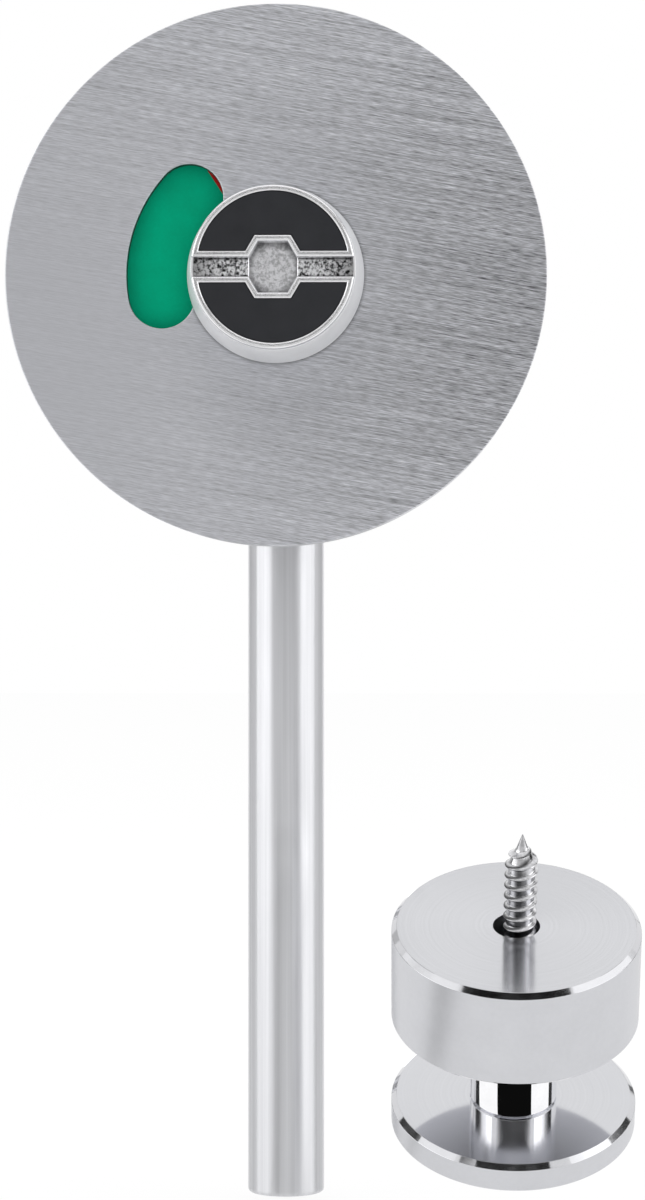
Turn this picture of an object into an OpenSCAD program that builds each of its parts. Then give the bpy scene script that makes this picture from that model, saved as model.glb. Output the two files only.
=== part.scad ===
// Toilet indicator bolt with a swing bar, and the keep that the bar drops into.
// Seen from outside the cubicle, +X is right, +Z is up and +Y goes through the door.
// The origin is on the spindle axis, in the plane of the door's outer face.

/* [Door] */
// Thickness of the door panel between the two roses
door_t = 12; // [12:1:24]

/* [Rose] */
// Diameter of the outer rose
rose_d = 52; // [50:1:62]
// Diameter of the smaller inner rose
inner_rose_d = 48; // [47:0.5:58]
// Sheet thickness of the rose covers
rose_wall = 1.2; // [0.8:0.1:1.8]
// Rounding of the rose's front edge
rose_edge_r = 0.2; // [0.2:0.1:0.7]
// Thickness of the base plate behind each rose
base_t = 2.5; // [2.2:0.1:4]
// Diameter of the spigot that centres a base plate in the door
spigot_d = 20; // [19:0.5:26]
// Length of that spigot
spigot_h = 3; // [2:0.1:3.4]

/* [Indicator window] */
// Radius of the window's centre line
window_mean_r = 11.1; // [10.8:0.1:12]
// Width of the window
window_w = 6.4; // [4:0.1:6.6]
// Angle of the window's middle, counter-clockwise from +X
window_mid_angle = 164; // [150:1:210]
// Angle between the centres of the window's round ends
window_span = 52; // [30:0.2:56]

/* [Indicator disc] */
// Thickness of the disc
disc_t = 0.9; // [0.6:0.1:1.5]
// Thickness of the coloured sectors on the disc
colour_t = 0.4; // [0.3:0.1:0.8]
// Gap between the coloured sectors and the rose
window_gap = 0.3; // [0.2:0.05:0.8]
// Rim of the disc outside the window
disc_rim = 1; // [0.6:0.1:2]
// How far the green starts late, so that a sliver of red shows at the window's upper end
colour_lag = 4; // [0:0.5:6]

/* [Release knob] */
// Diameter of the knob at the rose
knob_base_d = 17; // [16:0.1:18]
// Diameter of the knob at its face
knob_face_d = 15.4; // [14.5:0.1:16]
// Height of the knob above the rose
knob_h = 8; // [6:0.1:12]
// Bevel round the knob's face
knob_bevel = 0.25; // [0.15:0.05:0.6]
// Width of the coin slot
slot_w = 1.8; // [1.4:0.1:2.6]
// Depth of the coin slot
slot_depth = 1.3; // [0.8:0.1:2]
// Hexagon key size of the middle socket, across flats
hex_af = 4.8; // [4:0.1:6]
// Depth of the hexagon socket
hex_depth = 2.4; // [1.5:0.1:3.5]
// Width of the bright rim round the black inlays
rim_w = 0.35; // [0.3:0.05:1]
// Width of the bright lips along the slot and socket
lip_w = 0.6; // [0.3:0.05:1]
// Depth of the pockets that hold the inlays
pocket_depth = 0.6; // [0.3:0.05:1]
// How far the inlays lie below the rim
inlay_sink = 0.12; // [0.05:0.01:0.3]

/* [Spindle and bearings] */
// Side of the square spindle
spindle_sq = 6; // [5:0.1:6.5]
// Diameter of the journals on the knob and the hub
journal_d = 12; // [11.5:0.1:13]
// Wall of the bearing bushes
bush_wall = 1.5; // [1:0.1:2]
// Thickness of the flange on a bush
bush_flange_t = 0.5; // [0.4:0.1:1]
// How far a bush flange stands out from the bush
bush_flange_w = 1; // [0.5:0.1:1.2]
// Thickness of the retaining rings
ring_t = 0.8; // [0.6:0.1:0.9]
// Radial width of the retaining rings
ring_w = 2; // [1.5:0.1:2.5]
// Depth of the grooves for the retaining rings
ring_groove = 0.5; // [0.3:0.05:0.7]
// Journal left beyond a retaining ring
ring_land = 0.8; // [0.6:0.1:0.9]
// Sheet thickness of the disc spring
spring_t = 0.4; // [0.2:0.05:0.4]
// Height of the disc spring's cone
spring_cone = 0.3; // [0.1:0.05:0.3]
// Width of the key that turns the indicator disc
key_w = 2; // [1.5:0.1:3]
// Depth of that key in the journal
key_depth = 0.8; // [0.5:0.1:0.9]

/* [Fixings] */
// Distance between the two fixing screws
fixing_pitch = 34; // [33.5:0.1:34.5]
// Outer diameter of the threaded sleeves
sleeve_d = 7; // [6:0.1:7.5]
// How far the sleeves reach into the door
sleeve_reach = 8; // [5:0.1:10]
// Diameter of a sleeve's shoulder in the base plate
sleeve_shoulder_d = 7.7; // [7.6:0.1:7.9]
// Diameter of the sleeve heads
sleeve_head_d = 8.6; // [8:0.1:9]
// Thickness of the sleeve heads
sleeve_head_t = 1; // [0.6:0.1:1.4]
// Thread diameter of the fixing screws
screw_d = 4; // [3:0.1:4.5]
// Head diameter of the fixing screws
screw_head_d = 7.6; // [7:0.1:8]
// How deep the screw's tip stays below the door's outer face
screw_tip_depth = 3; // [1:0.1:4]

/* [Turning hub] */
// Diameter of the hub
hub_d = 26; // [25.5:0.1:32]
// Metal between the bar and the hub's free face
hub_cover = 4.2; // [3:0.1:8]
// Bevel round the hub's free face
hub_bevel = 0.8; // [0.3:0.1:1.5]
// Thickness of the thrust washer
washer_t = 0.8; // [0.5:0.1:1.5]
// Radial width of the thrust washer
washer_w = 2.2; // [1.5:0.1:2.6]
// Radius on which the stop pin runs
stop_r = 11; // [10.6:0.1:11.2]
// Diameter of the stop pin
stop_d = 2.5; // [1.5:0.1:2.6]
// Length of the stop pin held in the hub
stop_seat = 3; // [2:0.1:3.4]
// Depth of the stop groove in the inner base plate
stop_depth = 1.8; // [1:0.1:2]
// Swing of the bar to each side
swing = 90; // [60:1:90]
// Thread diameter of the set screws
set_d = 4; // [3:0.1:4.5]
// Hexagon key size of the set screws
set_key = 2; // [1.3:0.1:2.2]
// Length of the bar's set screw
bar_set_l = 3.6; // [2.5:0.1:4]

/* [Swing bar] */
// Diameter of the bar
bar_d = 8; // [6:0.1:8.2]
// Distance from the spindle axis to the bar's tip
bar_reach = 93.5; // [80:0.1:130]
// Bevel at the bar's tip
bar_bevel = 0.5; // [0.2:0.05:1.2]

/* [Keep] */
// Diameter of the keep's base and flange
keep_d = 24; // [20:0.5:30]
// Height of the base, which spaces the groove from the jamb
keep_base_h = 10.2; // [9.5:0.1:14]
// Width of the groove that takes the bar
keep_groove_w = 9.4; // [9:0.1:12]
// Diameter of the polished neck
keep_neck_d = 8.5; // [8:0.1:12]
// Bevel where the neck stands on the flange
keep_neck_bevel = 0.25; // [0.2:0.05:0.8]
// Thickness of the flange
keep_flange_t = 3; // [2.8:0.1:5]
// Bevel round the base and the flange
keep_bevel = 0.5; // [0.3:0.05:0.8]
// Diameter of the screw hole
keep_hole_d = 4.5; // [4.2:0.1:5.6]

/* [Keep screw] */
// Outer diameter of the wood thread
wood_d = 3.2; // [3:0.1:4]
// Core diameter of the wood thread
wood_core_d = 2.6; // [2.2:0.1:2.9]
// Pitch of the wood thread
wood_pitch = 1.15; // [1:0.05:1.6]
// How far the screw stands out of the keep
wood_out = 10.2; // [9:0.1:12]
// Length of the tapered point
wood_point = 2.6; // [2:0.1:4]
// Threaded length of the screw
wood_thread_l = 14; // [13:0.1:16]
// Head diameter of the screw
wood_head_d = 7; // [6.5:0.1:8]

/* [Place of the keep beside the bolt] */
// Sideways place of the keep's back face
keep_x = 23.1; // [20:0.1:40]
// Depth of that face, against the way through the door
keep_y = -5.5; // [-20:0.1:-4]
// Height of that face
keep_z = -62.4; // [-80:0.1:-50]
// Lean of the keep towards the viewer
keep_tilt = 27.5; // [0:0.5:40]

/* [Hidden] */

$fn = 96;
// Hexagons keep their six sides
hex_sides = 6;
// Overrun of a cut past the face that it opens
cut = 1;
// Radial clearance of a journal in its bush
run = 0.05;
// Radial or side clearance of pieces that are fixed together
fit = 0.03;
// Axial gap between faces that turn on each other
face_gap = 0.15;
// Radial gap round a turning piece that isn't a bearing
free_gap = 0.3;
// Spare angle at each end of the stop groove
stop_play = 2;
// Angle at which the stop pin stands while the bar hangs down
stop_angle = 90;
// Clearance of the cover on its base plate
cover_fit = 0.1;

journal_r = journal_d / 2;
outer_r = rose_d / 2;
inner_r = inner_rose_d / 2;
bush_r = journal_r + run + bush_wall;
bush_flange_r = bush_r + bush_flange_w;

// Heights above the door face, outwards on the outer side and inwards on the inner side
disc_z = base_t + bush_flange_t + face_gap;
colour_z = disc_z + disc_t;
rose_h = colour_z + colour_t + window_gap + rose_wall;
knob_z = rose_h + face_gap;
knob_top = knob_z + knob_h;
spring_h = spring_t + spring_cone;
outer_ring_z = -spigot_h - spring_h - face_gap - ring_t;
shank_end = outer_ring_z - ring_land;
hub_z = rose_h + washer_t + face_gap;
bar_z = keep_base_h + keep_groove_w / 2;
hub_top = bar_z + bar_d / 2 + hub_cover;
inner_ring_z = -spigot_h - face_gap - ring_t;
journal_end = inner_ring_z - ring_land;

window_start = window_mid_angle - window_span / 2;
disc_r = window_mean_r + window_w / 2 + disc_rim;
green_start = window_mid_angle - swing / 2 + colour_lag;
colour_in_r = window_mean_r - window_w / 2 - disc_rim / 2;
stop_pin_len = hub_z + stop_seat - (base_t - stop_depth) - face_gap;

// The bar's inner end stays clear of the spindle's corners
bar_seat = spindle_sq * sqrt(2) / 2 + free_gap;
spindle_top = knob_z;
spindle_end = hub_top - hub_cover;
bar_set_y = -(bar_seat + hub_d / 2) / 2;

keep_h = keep_base_h + keep_groove_w + keep_flange_t;
keep_head_z = -keep_h + fit;
wood_head_h = (wood_head_d - wood_core_d) / 2;
wood_thread_z = wood_out - wood_thread_l;

// Frames: local z goes out of the door on the outer side, and into the cubicle on the inner side
module on_outside() {
    rotate([90, 0, 0]) children();
}

module on_inside() {
    on_outside() translate([0, 0, -door_t]) rotate([0, 180, 0]) children();
}

module on_keep() {
    translate([keep_x, keep_y, keep_z]) rotate([keep_tilt, 0, 0]) children();
}

// Shapes used more than once
module ring(r_out, r_in, z, h) {
    translate([0, 0, z]) difference() {
        cylinder(r = r_out, h = h);
        translate([0, 0, -cut]) cylinder(r = r_in, h = h + 2 * cut);
    }
}

module hole(r, z, h) {
    translate([0, 0, z]) cylinder(r = r, h = h);
}

module at_fixings() {
    for (side = [-1, 1]) translate([side * fixing_pitch / 2, 0, 0]) children();
}

module arc_slot(mean_r, width, start, span, z, h) {
    rotate([0, 0, start]) rotate_extrude(angle = span)
        translate([mean_r - width / 2, z]) square([width, h]);
    for (a = [start, start + span])
        rotate([0, 0, a]) translate([mean_r, 0, z]) cylinder(d = width, h = h);
}

module rose_blank(r) {
    hole_r = journal_r + free_gap;
    rotate_extrude() difference() {
        union() {
            square([r - rose_edge_r, rose_h]);
            square([r, rose_h - rose_edge_r]);
            translate([r - rose_edge_r, rose_h - rose_edge_r]) circle(rose_edge_r);
        }
        translate([-cut, -cut]) square([r - rose_wall + cut, rose_h - rose_wall + cut]);
        translate([-cut, -cut]) square([hole_r + cut, rose_h + 2 * cut]);
    }
}

module base_blank(cover_r) {
    difference() {
        union() {
            cylinder(r = cover_r - rose_wall - cover_fit, h = base_t);
            translate([0, 0, -spigot_h]) cylinder(d = spigot_d, h = spigot_h + base_t / 2);
        }
        hole(bush_r + fit, -spigot_h - cut, spigot_h + base_t + 2 * cut);
    }
}

module bush() {
    difference() {
        union() {
            hole(bush_r, -spigot_h, spigot_h + base_t);
            hole(bush_flange_r, base_t, bush_flange_t);
        }
        hole(journal_r + run, -spigot_h - cut, spigot_h + base_t + bush_flange_t + 2 * cut);
    }
}

module retaining_ring(z) {
    in_r = journal_r - ring_groove + fit;
    mouth = 70;
    translate([0, 0, z]) rotate([0, 0, 90 + mouth / 2]) rotate_extrude(angle = 360 - mouth)
        translate([in_r, 0]) square([ring_w, ring_t]);
}

module ring_groove_cut(z) {
    ring(journal_r + cut, journal_r - ring_groove, z - fit, ring_t + 2 * fit);
}

module square_socket(z, h) {
    side = spindle_sq + 2 * fit;
    translate([-side / 2, -side / 2, z]) cube([side, side, h]);
}

module sector(start, span) {
    rotate([0, 0, start]) rotate_extrude(angle = span)
        translate([colour_in_r, colour_z]) square([disc_r - colour_in_r, colour_t]);
}

module set_screw(length) {
    key_depth = length / 2;
    difference() {
        cylinder(d = set_d, h = length);
        translate([0, 0, length - key_depth])
            cylinder(d = set_key / cos(180 / hex_sides), h = key_depth + cut, $fn = hex_sides);
    }
}

// Outside set
module outer_rose() {
    color("lightgray") on_outside() difference() {
        rose_blank(outer_r);
        arc_slot(window_mean_r, window_w, window_start, window_span,
            rose_h - rose_wall - cut, rose_wall + 2 * cut);
    }
}

module outer_base() {
    color("dimgray") on_outside() difference() {
        base_blank(outer_r);
        at_fixings() hole(sleeve_shoulder_d / 2 + fit, -cut, base_t + 2 * cut);
        at_fixings() hole(sleeve_head_d / 2 + fit, base_t - sleeve_head_t, sleeve_head_t + cut);
    }
}

module outer_bush() {
    color("ivory") on_outside() bush();
}

// The two half-moon pockets in the knob's face, drawn in by the inset on every side
module face_pocket(inset) {
    edge = lip_w + inset;
    difference() {
        circle(r = knob_face_d / 2 - knob_bevel - rim_w - inset);
        square([knob_base_d, slot_w + 2 * edge], center = true);
        circle(d = (hex_af + 2 * edge) / cos(180 / hex_sides), $fn = hex_sides);
    }
}

// A hexagon whose two points are cut off where the slot meets it
module key_socket(h) {
    tip = hex_af / 2 / cos(180 / hex_sides);
    end = tip - slot_w / 2 * tan(180 / hex_sides);
    intersection() {
        cylinder(r = tip, h = h, $fn = hex_sides);
        translate([-end, -hex_af, 0]) cube([2 * end, 2 * hex_af, h]);
    }
}

module knob_head() {
    face_r = knob_face_d / 2;
    translate([0, 0, knob_z]) rotate_extrude() polygon([
        [0, 0], [knob_base_d / 2, 0], [face_r, knob_h - knob_bevel],
        [face_r - knob_bevel, knob_h], [0, knob_h]
    ]);
}

module release_knob() {
    color("silver") on_outside() difference() {
        union() {
            knob_head();
            hole(journal_r, shank_end, knob_z - shank_end + knob_h / 4);
        }
        translate([-knob_base_d / 2 - cut, -slot_w / 2, knob_top - slot_depth])
            cube([knob_base_d + 2 * cut, slot_w, slot_depth + cut]);
        translate([0, 0, knob_top - hex_depth]) key_socket(hex_depth + cut);
        translate([0, 0, knob_top - pocket_depth])
            linear_extrude(pocket_depth + cut) face_pocket(0);
        square_socket(shank_end - cut, spindle_top + free_gap - shank_end + cut);
        translate([-key_w / 2, journal_r - key_depth, shank_end - cut])
            cube([key_w, key_depth + cut, colour_z - shank_end + cut]);
        ring_groove_cut(outer_ring_z);
    }
}

module release_inlays() {
    color("#313236") on_outside() translate([0, 0, knob_top - pocket_depth])
        linear_extrude(pocket_depth - inlay_sink) face_pocket(fit);
}

module indicator_disc() {
    color("whitesmoke") on_outside() union() {
        ring(disc_r, journal_r + fit, disc_z, disc_t);
        translate([-key_w / 2 + fit, journal_r - key_depth + fit, disc_z])
            cube([key_w - 2 * fit, key_depth + cut, disc_t]);
    }
}

module vacant_sector() {
    color("#009B71") on_outside() sector(green_start, swing);
}

module engaged_sector() {
    color("#B3201F") on_outside() sector(green_start + swing, 360 - swing);
}

module disc_spring() {
    in_r = journal_r + free_gap;
    out_r = spigot_d / 2 - bush_wall / 2;
    color("darkgray") on_outside() translate([0, 0, -spigot_h]) rotate_extrude() polygon([
        [in_r, -spring_h], [in_r, -spring_h + spring_t],
        [out_r, 0], [out_r, -spring_t]
    ]);
}

module outer_retaining_ring() {
    color("gray") on_outside() retaining_ring(outer_ring_z);
}

// Through the door
module spindle() {
    color("gray") on_outside()
        translate([-spindle_sq / 2, -spindle_sq / 2, -door_t - spindle_end])
            cube([spindle_sq, spindle_sq, spindle_top + door_t + spindle_end]);
}

module fixing_sleeves() {
    color("goldenrod") on_outside() at_fixings() difference() {
        union() {
            hole(sleeve_d / 2, -sleeve_reach, sleeve_reach + base_t);
            hole(sleeve_shoulder_d / 2, 0, base_t);
            hole(sleeve_head_d / 2, base_t - sleeve_head_t, sleeve_head_t);
        }
        hole(screw_d / 2 + fit, -sleeve_reach - cut, sleeve_reach + cut);
    }
}

module fixing_screws() {
    slot_t = screw_head_d / 6;
    head_h = (screw_head_d - screw_d) / 2;
    color("silver") on_inside() at_fixings() difference() {
        union() {
            hole(screw_d / 2, screw_tip_depth - door_t, door_t - screw_tip_depth + base_t);
            translate([0, 0, base_t - head_h]) cylinder(d1 = screw_d, d2 = screw_head_d, h = head_h);
        }
        translate([-screw_head_d / 2 - cut, -slot_t / 2, base_t - head_h / 2])
            cube([screw_head_d + 2 * cut, slot_t, head_h]);
    }
}

// Inside set
module stop_groove(z, h) {
    reach = swing + stop_play;
    arc_slot(stop_r, stop_d + 2 * free_gap, stop_angle - reach, 2 * reach, z, h);
}

module at_stop(z) {
    rotate([0, 0, stop_angle]) translate([stop_r, 0, z]) children();
}

module inner_base() {
    head_h = (screw_head_d - screw_d) / 2;
    color("dimgray") on_inside() difference() {
        base_blank(inner_r);
        at_fixings() hole(screw_d / 2 + free_gap, -cut, base_t + 2 * cut);
        at_fixings() translate([0, 0, base_t - head_h - fit])
            cylinder(d1 = screw_d, d2 = screw_d + 2 * (head_h + cut), h = head_h + cut);
        stop_groove(base_t - stop_depth, stop_depth + cut);
    }
}

module inner_rose() {
    color("lightgray") on_inside() difference() {
        rose_blank(inner_r);
        stop_groove(rose_h - rose_wall - cut, rose_wall + 2 * cut);
    }
}

module inner_bush() {
    color("ivory") on_inside() bush();
}

module thrust_washer() {
    color("ivory") on_inside() ring(journal_r + run + washer_w, journal_r + run, rose_h, washer_t);
}

module turn_hub() {
    hub_r = hub_d / 2;
    set_z = hub_top - bar_set_l;
    color("silver") on_inside() difference() {
        union() {
            translate([0, 0, hub_z]) rotate_extrude() polygon([
                [0, 0], [hub_r, 0], [hub_r, hub_top - hub_z - hub_bevel],
                [hub_r - hub_bevel, hub_top - hub_z], [0, hub_top - hub_z]
            ]);
            hole(journal_r, journal_end, hub_z - journal_end + (hub_top - hub_z) / 4);
        }
        square_socket(journal_end - cut, spindle_end + free_gap - journal_end + cut);
        ring_groove_cut(inner_ring_z);
        translate([0, -bar_seat + fit, bar_z]) rotate([90, 0, 0]) cylinder(d = bar_d + 2 * fit, h = hub_r);
        translate([0, 0, bar_z]) rotate([-90, 0, 0]) cylinder(d = set_d + 2 * fit, h = hub_r + cut);
        translate([0, bar_set_y, bar_z]) cylinder(d = set_d + 2 * fit, h = hub_top - bar_z + cut);
        at_stop(hub_z - cut) cylinder(d = stop_d + 2 * fit, h = stop_seat + cut);
    }
}

module stop_pin() {
    color("gray") on_inside() at_stop(hub_z + stop_seat - stop_pin_len)
        cylinder(d = stop_d, h = stop_pin_len);
}

module inner_retaining_ring() {
    color("gray") on_inside() retaining_ring(inner_ring_z);
}

module swing_bar() {
    bar_r = bar_d / 2;
    length = bar_reach - bar_seat;
    color("lightgray") on_inside() translate([0, -bar_seat, bar_z]) rotate([90, 0, 0])
        rotate_extrude() polygon([
            [0, 0], [bar_r, 0], [bar_r, length - bar_bevel], [bar_r - bar_bevel, length], [0, length]
        ]);
}

module bar_set_screw() {
    color("gray") on_inside() translate([0, bar_set_y, bar_z + bar_d / 2 + fit]) set_screw(bar_set_l);
}

module spindle_set_screw() {
    sunk = 1;
    start = spindle_sq / 2 + fit;
    color("gray") on_inside() translate([0, start, bar_z]) rotate([-90, 0, 0])
        set_screw(hub_d / 2 - start - sunk);
}

// Keep, drawn with its back face at z = 0 and its screw pointing along +z
module keep_disc(top, height, bevel_top, bevel_bottom) {
    r = keep_d / 2;
    translate([0, 0, top - height]) rotate_extrude() polygon([
        [0, 0], [r - bevel_bottom, 0], [r, bevel_bottom], [r, height - bevel_top],
        [r - bevel_top, height], [0, height]
    ]);
}

module keep_base() {
    color("gainsboro") on_keep() difference() {
        keep_disc(0, keep_base_h, keep_bevel, keep_bevel / 2);
        hole(keep_hole_d / 2, -keep_base_h - cut, keep_base_h + 2 * cut);
    }
}

module keep_neck() {
    r = keep_neck_d / 2;
    in_r = keep_hole_d / 2;
    color("white") on_keep() translate([0, 0, -keep_base_h - keep_groove_w])
        rotate_extrude() polygon([
            [in_r, 0], [r - keep_neck_bevel, 0], [r, keep_neck_bevel],
            [r, keep_groove_w], [in_r, keep_groove_w]
        ]);
}

module keep_flange() {
    seat_r = wood_head_d / 2 + fit;
    color("gainsboro") on_keep() difference() {
        keep_disc(-keep_base_h - keep_groove_w, keep_flange_t, keep_bevel, keep_bevel / 2);
        hole(keep_hole_d / 2, -keep_h - cut, keep_flange_t + 2 * cut);
        translate([0, 0, keep_head_z - cut])
            cylinder(r1 = seat_r + cut, r2 = seat_r - wood_head_h, h = cut + wood_head_h);
    }
}

// The screw's radius at height z and angle a: a countersunk head, a plain shank, then one thread
wood_sides = 18;
wood_rows_per_turn = 6;
wood_tip_r = 0.08;
wood_ridge = 0.24;
wood_step = wood_pitch / wood_rows_per_turn;
wood_rows = round(wood_thread_l / wood_step);

function taper(z) = min(1, max(0, (wood_out - z) / wood_point));
function start_ramp(z) = min(1, max(0, (z - wood_thread_z) / wood_pitch));
function core_r(z) = wood_tip_r + (wood_core_d / 2 - wood_tip_r) * taper(z);
function turn_part(z, a) = z / wood_pitch - a / 360 - floor(z / wood_pitch - a / 360);
function ridge(s) = max(0, 1 - abs(s - 0.5) / wood_ridge);
function thread_r(z, a) = core_r(z)
    + (wood_d - wood_core_d) / 2 * start_ramp(z) * sqrt(taper(z)) * ridge(turn_part(z, a));
function row_z(i) = wood_thread_z + i * wood_thread_l / wood_rows;
function circle_row(r, z) = [for (k = [0:wood_sides - 1])
    [r * cos(k * 360 / wood_sides), r * sin(k * 360 / wood_sides), z]];
function thread_row(z) = [for (k = [0:wood_sides - 1]) let (a = k * 360 / wood_sides)
    [thread_r(z, a) * cos(a), thread_r(z, a) * sin(a), z]];

module screw_body() {
    rows = [
        circle_row(wood_head_d / 2, keep_head_z),
        circle_row(wood_core_d / 2, keep_head_z + wood_head_h),
        for (i = [0:wood_rows]) thread_row(row_z(i))
    ];
    n = len(rows);
    points = [for (row = rows) each row];
    walls = [for (i = [0:n - 2]) for (k = [0:wood_sides - 1])
        let (j = (k + 1) % wood_sides, low = i * wood_sides, high = low + wood_sides)
        each [[low + k, high + k, high + j], [low + k, high + j, low + j]]];
    caps = [
        [for (k = [0:wood_sides - 1]) k],
        [for (k = [wood_sides - 1:-1:0]) (n - 1) * wood_sides + k]
    ];
    polyhedron(points = points, faces = concat(walls, caps));
}

module keep_screw() {
    arm = wood_head_d * 0.62;
    arm_w = wood_head_d / 7;
    arm_depth = wood_head_h * 0.6;
    color("silver") on_keep() difference() {
        screw_body();
        for (turn = [0, 90]) rotate([0, 0, turn])
            translate([-arm / 2, -arm_w / 2, keep_head_z - cut]) cube([arm, arm_w, arm_depth + cut]);
    }
}

outer_rose();
outer_base();
outer_bush();
release_knob();
release_inlays();
indicator_disc();
vacant_sector();
engaged_sector();
disc_spring();
outer_retaining_ring();
spindle();
fixing_sleeves();
fixing_screws();
inner_base();
inner_rose();
inner_bush();
thrust_washer();
turn_hub();
stop_pin();
inner_retaining_ring();
swing_bar();
bar_set_screw();
spindle_set_screw();
keep_base();
keep_neck();
keep_flange();
keep_screw();
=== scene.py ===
import math

import bmesh
import bpy
from mathutils import Matrix, Vector


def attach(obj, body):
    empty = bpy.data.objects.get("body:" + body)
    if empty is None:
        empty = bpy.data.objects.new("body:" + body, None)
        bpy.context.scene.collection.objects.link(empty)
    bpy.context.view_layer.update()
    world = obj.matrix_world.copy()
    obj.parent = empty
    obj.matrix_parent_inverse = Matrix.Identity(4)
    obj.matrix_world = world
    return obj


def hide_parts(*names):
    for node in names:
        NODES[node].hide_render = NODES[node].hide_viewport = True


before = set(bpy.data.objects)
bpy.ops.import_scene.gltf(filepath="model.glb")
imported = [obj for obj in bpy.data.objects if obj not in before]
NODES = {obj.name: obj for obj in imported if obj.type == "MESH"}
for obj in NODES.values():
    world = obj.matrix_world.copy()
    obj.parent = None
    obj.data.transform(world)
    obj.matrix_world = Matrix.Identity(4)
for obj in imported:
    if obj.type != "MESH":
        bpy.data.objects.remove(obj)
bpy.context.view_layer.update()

# Sizes in metres, as in the solids, with the fine edges and gaps of the dressed pieces
MM = 0.001
DOOR = 12 * MM

# Outer rose and its window
ROSE_R = 26 * MM
ROSE_H = 5.95 * MM
ROSE_WALL = 1.2 * MM
ROSE_EDGE = 0.12 * MM
HOLE_R = 6.3 * MM
HOLE_EDGE = 0.12 * MM
WIN_R = 11.1 * MM
WIN_W = 6.4 * MM
WIN_MID = math.radians(164)
WIN_SPAN = math.radians(52)
WIN_EDGE = 0.16 * MM

# Release knob
KNOB_Z = 6.1 * MM
KNOB_H = 8 * MM
KNOB_BASE_R = 8.5 * MM
KNOB_FACE_R = 7.7 * MM
KNOB_SIDE_R = KNOB_FACE_R + 0.08 * MM
KNOB_EDGE = 0.05 * MM
KNOB_TOP = KNOB_Z + KNOB_H

# The knob's coin slot and hexagon socket
SLOT_W = 1.8 * MM
SLOT_D = 1.3 * MM
SLOT_HALF = SLOT_W / 2
SLOT_FLOOR_Z = KNOB_TOP - SLOT_D
HEX_AF = 4.8 * MM
HEX_D = 2.4 * MM
HEX_EDGE = 0.14 * MM
HEX_HALF_ANGLE = math.pi / 6
SOCKET_FLOOR_Z = KNOB_TOP - HEX_D

# The knob's rim, its black inlays and its shank
RIM_W = 0.35 * MM
LIP_W = 0.6 * MM
BEVEL = 0.25 * MM
WEB_EDGE = 0.24 * MM
WEB_SINK = 0.02 * MM
POCKET_D = 0.6 * MM
POCKET_EDGE = 0.2 * MM
INLAY_SINK = 0.12 * MM
INLAY_GAP = 0.03 * MM
INLAY_EDGE = 0.05 * MM
SHANK_R = 6 * MM
SHANK_END = -5.45 * MM
SHANK_BEVEL = 0.1 * MM
GROOVE_R = 5.5 * MM
GROOVE_TOP = -3.85 * MM
GROOVE_LOW = -4.65 * MM

# Swing bar
BAR_R = 4 * MM
BAR_Z = 14.9 * MM
BAR_SEAT = 4.543 * MM
BAR_REACH = 93.5 * MM
BAR_LENGTH = BAR_REACH - BAR_SEAT
BAR_EDGE = 0.45 * MM

# Keep
KEEP_AT = Vector((23.1, -5.5, -62.4)) * MM
KEEP_TILT = math.radians(27.5)
KEEP_R = 12 * MM
KEEP_BASE = 10.2 * MM
KEEP_GROOVE = 9.4 * MM
KEEP_FLANGE = 3 * MM
KEEP_H = KEEP_BASE + KEEP_GROOVE + KEEP_FLANGE
KEEP_HOLE_R = 2.25 * MM
KEEP_BEVEL = 0.5 * MM
KEEP_EDGE = 0.05 * MM
NECK_R = 4.25 * MM
NECK_BEVEL = 0.25 * MM
NECK_EDGE = 0.04 * MM
FLANGE_Z = -KEEP_BASE - KEEP_GROOVE

# The keep's wood screw
WOOD_OUT = 10.2 * MM
WOOD_THREAD = 14 * MM
WOOD_START = WOOD_OUT - WOOD_THREAD
WOOD_POINT = 2.6 * MM
WOOD_PITCH = 1.15 * MM
WOOD_R = 1.6 * MM
WOOD_CORE = 1.3 * MM
WOOD_RIDGE = 0.42 * MM
WOOD_TIP = 0.04 * MM
WOOD_HEAD = 3.5 * MM
WOOD_LEAN = 0.28 * MM
HEAD_GAP = 0.03 * MM

# The screw's point, in shares of the core and in lengths of the point below its tip
SLIM_SHARE = 0.45
SLIM_SLOPE = 0.7
WIDE_SHARE = 0.5
WIDE_FROM = 0.6
WIDE_OVER = 0.6
THREAD_FROM = 0.5
THREAD_OVER = 0.25

# The thread's ridge: half its width in pitches, and how far its crest is flattened
RIDGE_HALF = 0.24
RIDGE_FLAT = 1.12

# Frames of the outside set, the inside set and the keep
OUT = Matrix(((1, 0, 0, 0), (0, 0, -1, 0), (0, 1, 0, 0), (0, 0, 0, 1)))
INN = Matrix(((-1, 0, 0, 0), (0, 0, 1, DOOR), (0, 1, 0, 0), (0, 0, 0, 1)))
KEEP = Matrix.Translation(KEEP_AT) @ Matrix.Rotation(KEEP_TILT, 4, "X")

# Upright share of a face's normal that tells flats, walls, steep edges and upward faces apart
FLAT = 0.97
WALL = 0.2
STEEP = 0.3
UPWARD = 0.9


# Mesh tools
def piece(name, bm, mat, place, body, nodes=(), sharp=32):
    """A finished piece: its mesh stays in its own frame, and the object carries the placing."""
    bmesh.ops.recalc_face_normals(bm, faces=bm.faces)
    mesh = bpy.data.meshes.new(name)
    bm.to_mesh(mesh)
    bm.free()
    for p in mesh.polygons:
        p.use_smooth = True
    mesh.set_sharp_from_angle(angle=math.radians(sharp))
    ob = bpy.data.objects.new(name, mesh)
    bpy.context.collection.objects.link(ob)
    ob.matrix_world = place
    mesh.materials.append(mat)
    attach(ob, body)
    if nodes:
        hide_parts(*nodes)
    return ob


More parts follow.
